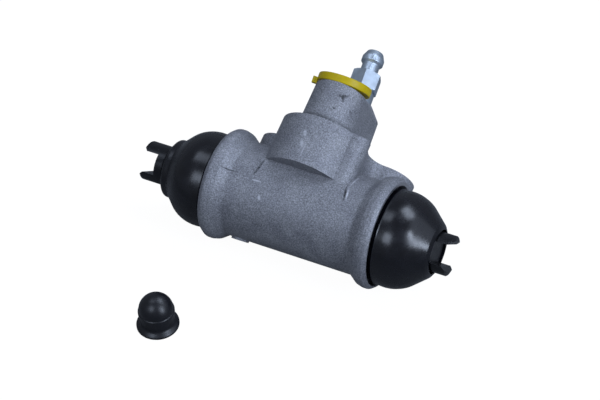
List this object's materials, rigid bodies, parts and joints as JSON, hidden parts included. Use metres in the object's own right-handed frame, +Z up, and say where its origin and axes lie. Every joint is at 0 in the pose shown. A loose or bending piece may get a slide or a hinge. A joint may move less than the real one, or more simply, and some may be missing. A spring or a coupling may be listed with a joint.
{
  "type": "wheel cylinder",
  "caption": "Drum brake wheel cylinder: cast body with a through bore, opposed slotted pistons, rubber dust boots, plugged fluid port and bleed screw.",
  "frame": {"origin": "on the floor below the middle of the outline, the cap that stands apart included", "axes": "+X along the bore towards the right-hand piston, +Z up, +Y towards the side of the mount face; the mount face looks along +Y tipped 21.9 degrees up, because the part lies on its two rims and two lug feet"},
  "size_m": [0.0954, 0.1042, 0.0422],
  "materials": {
    "cast_body": "fine speckled die casting, blasted",
    "dark_piston": "black anodised",
    "rubber": "smooth moulded",
    "plain_steel": "plain",
    "zinc_plate": "bright zinc plated",
    "yellow_plastic": "moulded"
  },
  "bodies": {
    "cylinder": {"housing": "cast_body", "dust_boot_left": "rubber", "dust_boot_right": "rubber", "boot_ring_left": "plain_steel", "boot_ring_right": "plain_steel", "return_spring": "plain_steel", "bleed_screw_cap": "rubber"},
    "cup_left": {"piston_cup_left": "rubber", "cup_expander_left": "plain_steel"},
    "cup_right": {"piston_cup_right": "rubber", "cup_expander_right": "plain_steel"},
    "piston_left": {"piston_left": "dark_piston"},
    "piston_right": {"piston_right": "dark_piston"},
    "bleed_screw": {"bleed_screw": "zinc_plate"},
    "port_plug": {"port_plug": "yellow_plastic"}
  },
  "joints": [
    {"name": "piston_left_travel", "type": "slide", "parent": "cylinder", "child": "cup_left", "axis": [-1, 0, 0], "range_m": [-0.003, 0.002], "deforming": ["dust_boot_left", "return_spring"]},
    {"name": "piston_right_travel", "type": "slide", "parent": "cylinder", "child": "cup_right", "axis": [1, 0, 0], "range_m": [-0.001, 0.005], "deforming": ["dust_boot_right", "return_spring"]},
    {"name": "piston_left_turn", "type": "hinge", "parent": "cup_left", "child": "piston_left", "pos_m": [-0.0375, -0.00359, 0.01576], "axis": [-1, 0, 0], "continuous": true},
    {"name": "piston_right_turn", "type": "hinge", "parent": "cup_right", "child": "piston_right", "pos_m": [0.0425, -0.00359, 0.01576], "axis": [1, 0, 0], "continuous": true},
    {"name": "bleed_screw_turn", "type": "hinge", "parent": "cylinder", "child": "bleed_screw", "pos_m": [0.00065, 0.03698, 0.02304], "axis": [-0.0698, 0.9255, 0.3722], "range_deg": [0, 360]},
    {"name": "port_plug_pull", "type": "slide", "parent": "cylinder", "child": "port_plug", "axis": [0, 0.9278, 0.3731], "range_m": [0, 0.012]}
  ]
}
